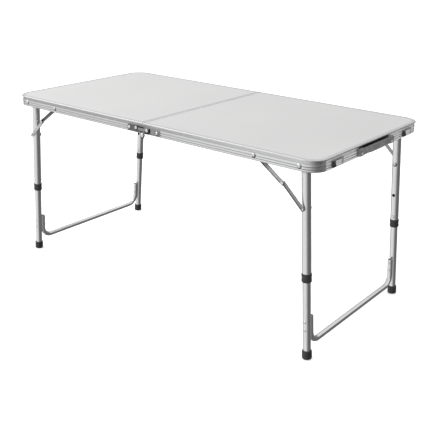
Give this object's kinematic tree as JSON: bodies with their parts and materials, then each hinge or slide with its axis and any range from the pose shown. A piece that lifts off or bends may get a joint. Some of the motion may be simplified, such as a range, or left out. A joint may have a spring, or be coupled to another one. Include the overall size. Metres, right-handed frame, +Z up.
{
  "type": "folding picnic table",
  "caption": "Rectangular aluminium folding table: two hinged leaves with edge rails, splayed telescopic leg sets, folding braces, snap buttons, end latches and a carrying handle.",
  "frame": {"origin": "on the floor under the middle of the table", "axes": "+X along the length towards the end with the latches and handle, +Y to the rear, +Z up"},
  "size_m": [1.2135, 0.6098, 0.58],
  "materials": {
    "laminate": "fine mottled laminate on board",
    "rail_aluminium": "satin, ribbed",
    "seam_trim": "satin",
    "plate_steel": "grey coated",
    "hook_steel": "grey coated",
    "rivet": "bright",
    "nickel": "bright nickel",
    "spring_steel": "plain",
    "button_chrome": "bright",
    "handle_plastic": "fine grain",
    "tube_aluminium": "satin",
    "black_plastic": "satin moulded",
    "brace_steel": "zinc plated"
  },
  "bodies": {
    "left_leaf": {"left_panel": "laminate", "left_edge_rail": "rail_aluminium", "left_seam_rail": "seam_trim", "front_left_hinge_plate": "plate_steel", "rear_left_hinge_plate": "plate_steel", "hinge_pins": "rivet", "left_hinge_rivets": "rivet", "left_leg_pivots": "rivet", "left_brace_rail_rivets": "rivet", "latch_keepers": "nickel"},
    "right_leaf": {"right_panel": "laminate", "right_edge_rail": "rail_aluminium", "right_seam_rail": "seam_trim", "front_right_hinge_plate": "plate_steel", "rear_right_hinge_plate": "plate_steel", "right_hinge_rivets": "rivet", "right_leg_pivots": "rivet", "right_brace_rail_rivets": "rivet", "latch_bases": "nickel", "latch_blocks": "black_plastic", "handle_brackets": "handle_plastic"},
    "front_hook_body": {"front_hook": "hook_steel"},
    "rear_hook_body": {"rear_hook": "hook_steel"},
    "front_latch": {"front_latch_lever": "nickel"},
    "rear_latch": {"rear_latch_lever": "nickel"},
    "handle": {"handle_grip": "handle_plastic"},
    "left_leg_set": {"left_front_upper_tube": "tube_aluminium", "left_rear_upper_tube": "tube_aluminium", "left_collars": "black_plastic", "left_brace_leg_rivets": "rivet"},
    "left_lower_frame": {"left_front_lower_tube": "tube_aluminium", "left_rear_lower_tube": "tube_aluminium", "left_crossbar": "tube_aluminium", "left_crossbar_rivets": "rivet", "left_feet": "black_plastic", "left_snap_springs": "spring_steel"},
    "left_upper_braces": {"left_front_upper_brace": "brace_steel", "left_rear_upper_brace": "brace_steel", "left_brace_joint_rivets": "rivet"},
    "left_lower_braces": {"left_front_lower_brace": "brace_steel", "left_rear_lower_brace": "brace_steel"},
    "left_front_button_body": {"left_front_button": "button_chrome"},
    "left_rear_button_body": {"left_rear_button": "button_chrome"},
    "right_leg_set": {"right_front_upper_tube": "tube_aluminium", "right_rear_upper_tube": "tube_aluminium", "right_collars": "black_plastic", "right_brace_leg_rivets": "rivet"},
    "right_lower_frame": {"right_front_lower_tube": "tube_aluminium", "right_rear_lower_tube": "tube_aluminium", "right_crossbar": "tube_aluminium", "right_crossbar_rivets": "rivet", "right_feet": "black_plastic", "right_snap_springs": "spring_steel"},
    "right_upper_braces": {"right_front_upper_brace": "brace_steel", "right_rear_upper_brace": "brace_steel", "right_brace_joint_rivets": "rivet"},
    "right_lower_braces": {"right_front_lower_brace": "brace_steel", "right_rear_lower_brace": "brace_steel"},
    "right_front_button_body": {"right_front_button": "button_chrome"},
    "right_rear_button_body": {"right_rear_button": "button_chrome"}
  },
  "joints": [
    {"name": "leaf_fold", "type": "hinge", "parent": "left_leaf", "child": "right_leaf", "pos_m": [0, 0, 0.543], "axis": [0, 1, 0], "range_deg": [0, 85]},
    {"name": "front_hook_lift", "type": "hinge", "parent": "left_leaf", "child": "front_hook_body", "pos_m": [-0.025, -0.3014, 0.562], "axis": [0, -1, 0], "range_deg": [0, 85.5]},
    {"name": "front_latch_turn", "type": "hinge", "parent": "right_leaf", "child": "front_latch", "pos_m": [0.603, -0.203, 0.556], "axis": [0, 1, 0], "range_deg": [0, 120]},
    {"name": "rear_hook_lift", "type": "hinge", "parent": "left_leaf", "child": "rear_hook_body", "pos_m": [-0.025, 0.3014, 0.562], "axis": [0, -1, 0], "range_deg": [0, 85.5]},
    {"name": "rear_latch_turn", "type": "hinge", "parent": "right_leaf", "child": "rear_latch", "pos_m": [0.603, 0.203, 0.556], "axis": [0, 1, 0], "range_deg": [0, 120]},
    {"name": "handle_swing", "type": "hinge", "parent": "right_leaf", "child": "handle", "pos_m": [0.6055, 0, 0.567], "axis": [0, -1, 0], "range_deg": [0, 90]},
    {"name": "left_leg_fold", "type": "hinge", "parent": "left_leaf", "child": "left_leg_set", "pos_m": [-0.543, 0, 0.561], "axis": [0, -1, 0], "range_deg": [0, 94.2]},
    {"name": "left_leg_retract", "type": "slide", "parent": "left_leg_set", "child": "left_lower_frame", "axis": [0.0732, 0, 0.9973], "range_m": [0, 0.0725], "deforming": ["left_front_button", "left_rear_button"]},
    {"name": "left_upper_brace_turn", "type": "hinge", "parent": "left_leaf", "child": "left_upper_braces", "pos_m": [-0.402, 0, 0.561], "axis": [0, -1, 0], "range_deg": [-35.53, 0]},
    {"name": "left_lower_brace_turn", "type": "hinge", "parent": "left_leg_set", "child": "left_lower_braces", "pos_m": [-0.55193, 0, 0.43933], "axis": [0, -1, 0], "range_deg": [0, 42.4]},
    {"name": "left_front_button_press", "type": "slide", "parent": "left_lower_frame", "child": "left_front_button_body", "axis": [0, -1, 0], "range_m": [0, 0.0039], "stiffness_N_per_m": 400, "springref_m": -0.002, "deforming": ["left_snap_springs"]},
    {"name": "left_rear_button_press", "type": "slide", "parent": "left_lower_frame", "child": "left_rear_button_body", "axis": [0, 1, 0], "range_m": [0, 0.0039], "stiffness_N_per_m": 400, "springref_m": -0.002, "deforming": ["left_snap_springs"]},
    {"name": "right_leg_fold", "type": "hinge", "parent": "right_leaf", "child": "right_leg_set", "pos_m": [0.543, 0, 0.561], "axis": [0, 1, 0], "range_deg": [0, 94.2]},
    {"name": "right_leg_retract", "type": "slide", "parent": "right_leg_set", "child": "right_lower_frame", "axis": [-0.0732, 0, 0.9973], "range_m": [0, 0.0725], "deforming": ["right_front_button", "right_rear_button"]},
    {"name": "right_upper_brace_turn", "type": "hinge", "parent": "right_leaf", "child": "right_upper_braces", "pos_m": [0.402, 0, 0.561], "axis": [0, 1, 0], "range_deg": [-35.53, 0]},
    {"name": "right_lower_brace_turn", "type": "hinge", "parent": "right_leg_set", "child": "right_lower_braces", "pos_m": [0.55193, 0, 0.43933], "axis": [0, 1, 0], "range_deg": [0, 42.4]},
    {"name": "right_front_button_press", "type": "slide", "parent": "right_lower_frame", "child": "right_front_button_body", "axis": [0, -1, 0], "range_m": [0, 0.0039], "stiffness_N_per_m": 400, "springref_m": -0.002, "deforming": ["right_snap_springs"]},
    {"name": "right_rear_button_press", "type": "slide", "parent": "right_lower_frame", "child": "right_rear_button_body", "axis": [0, 1, 0], "range_m": [0, 0.0039], "stiffness_N_per_m": 400, "springref_m": -0.002, "deforming": ["right_snap_springs"]}
  ],
  "couplings": [
    {"joint": "front_hook_lift", "follows": "leaf_fold", "ratio": 1},
    {"joint": "rear_hook_lift", "follows": "leaf_fold", "ratio": 1},
    {"joint": "left_leg_retract", "follows": "left_leg_fold", "m_per_rad": 0.043793},
    {"joint": "left_upper_brace_turn", "follows": "left_leg_fold", "ratio": -0.37503},
    {"joint": "left_lower_brace_turn", "follows": "left_leg_fold", "ratio": 0.44793},
    {"joint": "right_leg_retract", "follows": "right_leg_fold", "m_per_rad": 0.043793},
    {"joint": "right_upper_brace_turn", "follows": "right_leg_fold", "ratio": -0.37503},
    {"joint": "right_lower_brace_turn", "follows": "right_leg_fold", "ratio": 0.44793}
  ]
}
